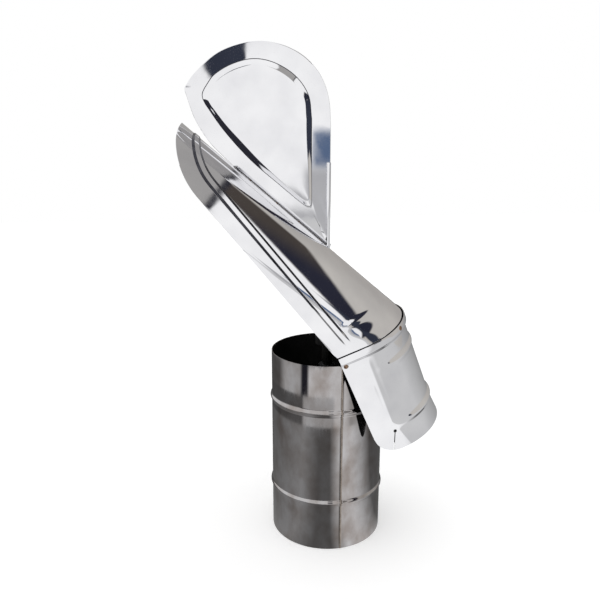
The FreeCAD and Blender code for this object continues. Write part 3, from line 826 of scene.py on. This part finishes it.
def studio():
    world = bpy.data.worlds.new("studio")
    scene.world = world
    world.use_nodes = True
    tree = world.node_tree
    tree.nodes.clear()
    level = node(tree, "ShaderNodeTexCoord").outputs["Generated"]
    tilt = {"Rotation": (0.0, math.pi / 2.0 - slope, 0.0)}
    tilted = node(tree, "ShaderNodeMapping", tilt, Vector=level).outputs["Vector"]

    def angles(direction):
        axes = node(tree, "ShaderNodeSeparateXYZ", Vector=direction)
        rise = node(tree, "ShaderNodeMath", {"operation": "ARCSINE"}, i0=axes.outputs["Z"])
        return turn_from_front(tree, axes), rise.outputs[0]

    on_slope = angles(tilted)
    on_level = angles(level)

    def edge(turn_share, rise_share, offset, soft, pair=on_slope):
        # 0 to 1 across a straight edge in the two angles
        turned = {"operation": "MULTIPLY_ADD", 1: turn_share, 2: -math.radians(offset)}
        first = node(tree, "ShaderNodeMath", turned, i0=pair[0])
        raised = {"operation": "MULTIPLY_ADD", 1: rise_share}
        second = node(tree, "ShaderNodeMath", raised, i0=pair[1], i2=first.outputs[0])
        half = math.radians(soft)
        blur = {"interpolation_type": "SMOOTHSTEP", "From Min": -half, "From Max": half}
        return node(tree, "ShaderNodeMapRange", blur, Value=second.outputs[0]).outputs[0]

    def overlap(mask, *others):
        for other in others:
            mask = node(tree, "ShaderNodeMath", {"operation": "MULTIPLY"}, i0=mask, i1=other).outputs[0]
        return mask

    def over(mask, under, shade):
        mix = node(tree, "ShaderNodeMix", {"data_type": "RGBA"}, i0=mask)
        for socket, value in ((6, under), (7, shade)):
            if isinstance(value, tuple):
                mix.inputs[socket].default_value = value
            else:
                tree.links.new(value, mix.inputs[socket])
        return mix.outputs[2]

    def card(left, right, low, high, soft):
        return overlap(edge(1.0, 0.0, left, soft, on_level), edge(-1.0, 0.0, -right, soft, on_level),
                       edge(0.0, 1.0, low, soft, on_level), edge(0.0, -1.0, -high, soft, on_level))

    past_white = edge(*white_end)
    lit = over(past_white, colour(white), colour(warm_grey))
    lit = over(overlap(edge(*grey_fade), past_white), lit, colour(far_grey))
    panel = overlap(past_white, edge(*dark_end), edge(*dark_corner), edge(*dark_foot))
    lit = over(panel, lit, over(edge(*brown_fade), colour(panel_blue), colour(panel_brown)))
    past_vane = overlap(edge(*nose_side), edge(*nose_top))
    lit = over(overlap(edge(*nose_line), past_vane), lit, colour(nose_dark))
    lit = over(overlap(edge(*nose_foot), past_vane), lit, colour(nose_grey))
    for *sides, shade in cards:
        lit = over(card(*sides), lit, colour(shade))

    rays = node(tree, "ShaderNodeLightPath")
    shown = node(tree, "ShaderNodeBackground", Color=lit)
    plain = node(tree, "ShaderNodeBackground", {"Color": colour(white), "Strength": room_light})
    blank = node(tree, "ShaderNodeBackground", {"Color": colour(white), "Strength": 1.0})
    mirrored = node(tree, "ShaderNodeMixShader", i0=rays.outputs["Is Glossy Ray"],
                    i1=plain.outputs[0], i2=shown.outputs[0])
    seen = node(tree, "ShaderNodeMixShader", i0=rays.outputs["Is Camera Ray"],
                i1=mirrored.outputs[0], i2=blank.outputs[0])
    node(tree, "ShaderNodeOutputWorld", Surface=seen.outputs[0])


studio()

# Floor: plain and pale to the eye; in the polished sheet it shows as the
# dull top that the cowl stands on, with pale and dark walls beyond its edge

floor_size = 8.0
floor_drop = 0.0005
floor_pale = "#F6F6F6"
floor_lift = 0.3
table_dark = "#4A4A4A"
table_mid = "#707070"
table_light = "#A8A8A8"
wall_light = "#D0D0D0"
wall_black = "#2C2C34"
dark_wall = [(-65, wall_light), (-60, wall_black), (-15, wall_black), (-5, white)]
right_wall = [(25, white), (35, wall_light), (80, wall_light)]
# Each ring: how far out it starts in metres, and its tones round the circle
# in degrees, between a dark start and end at the back
rings = [
    (0.0, [(-55, table_light), (-25, table_mid), (-5, table_mid), (15, white), (35, white), (80, table_mid)]),
    (0.45, [(-60, table_mid), (-55, wall_light), (0, wall_light), (5, white)] + right_wall),
    (0.6, [(-120, table_mid), (-100, wall_light), (-65, wall_light), (-60, wall_black), (-50, wall_black),
           (-45, white)] + right_wall),
    (0.8, dark_wall + right_wall),
    (2.4, dark_wall + [(5, white), (8, wall_light), (80, wall_light)]),
]
ring_blur = 0.006


def pale_floor():
    material, tree = blank_material("pale_floor")
    place = node(tree, "ShaderNodeTexCoord").outputs["Object"]
    axes = node(tree, "ShaderNodeSeparateXYZ", Vector=place)
    turn = turn_from_front(tree, axes)
    share = node(tree, "ShaderNodeMapRange", {"From Min": -math.pi, "From Max": math.pi}, Value=turn)

    def round_ramp(tones):
        stops = [(-180, table_dark)] + tones + [(180, table_dark)]
        ramp = node(tree, "ShaderNodeValToRGB", Fac=share.outputs[0])
        places = ramp.color_ramp.elements
        while len(places) < len(stops):
            places.new(0.5)
        for stop, (angle, tone) in zip(places, stops):
            stop.position = angle / 360.0 + 0.5
            stop.color = colour(tone)
        return ramp.outputs[0]

    flat = node(tree, "ShaderNodeCombineXYZ", X=axes.outputs["X"], Y=axes.outputs["Y"])
    reach = node(tree, "ShaderNodeVectorMath", {"operation": "LENGTH"}, i0=flat.outputs[0])
    top = round_ramp(rings[0][1])
    for start, tones in rings[1:]:
        edge = {"From Min": start - ring_blur, "From Max": start + ring_blur}
        edge["interpolation_type"] = "SMOOTHSTEP"
        beyond = node(tree, "ShaderNodeMapRange", edge, Value=reach.outputs["Value"])
        mix = node(tree, "ShaderNodeMix", {"data_type": "RGBA"}, i0=beyond.outputs[0],
                   i6=top, i7=round_ramp(tones))
        top = mix.outputs[2]
    mirrored = node(tree, "ShaderNodeEmission", Color=top)
    pale = node(tree, "ShaderNodeBsdfDiffuse", {"Color": colour(floor_pale)})
    lift = node(tree, "ShaderNodeEmission", {"Color": colour(white), "Strength": floor_lift})
    lifted = node(tree, "ShaderNodeAddShader", i0=pale.outputs[0], i1=lift.outputs[0])
    rays = node(tree, "ShaderNodeLightPath")
    seen = node(tree, "ShaderNodeMixShader", i0=rays.outputs["Is Camera Ray"],
                i1=pale.outputs[0], i2=lifted.outputs[0])
    shader = node(tree, "ShaderNodeMixShader", i0=rays.outputs["Is Glossy Ray"],
                  i1=seen.outputs[0], i2=mirrored.outputs[0])
    node(tree, "ShaderNodeOutputMaterial", Surface=shader.outputs[0])
    return material


bpy.ops.object.select_all(action="DESELECT")
bpy.ops.mesh.primitive_plane_add(size=floor_size, location=(0, 0, -floor_drop))
floor = bpy.context.object
floor.name = "floor"
floor.data.materials.append(pale_floor())
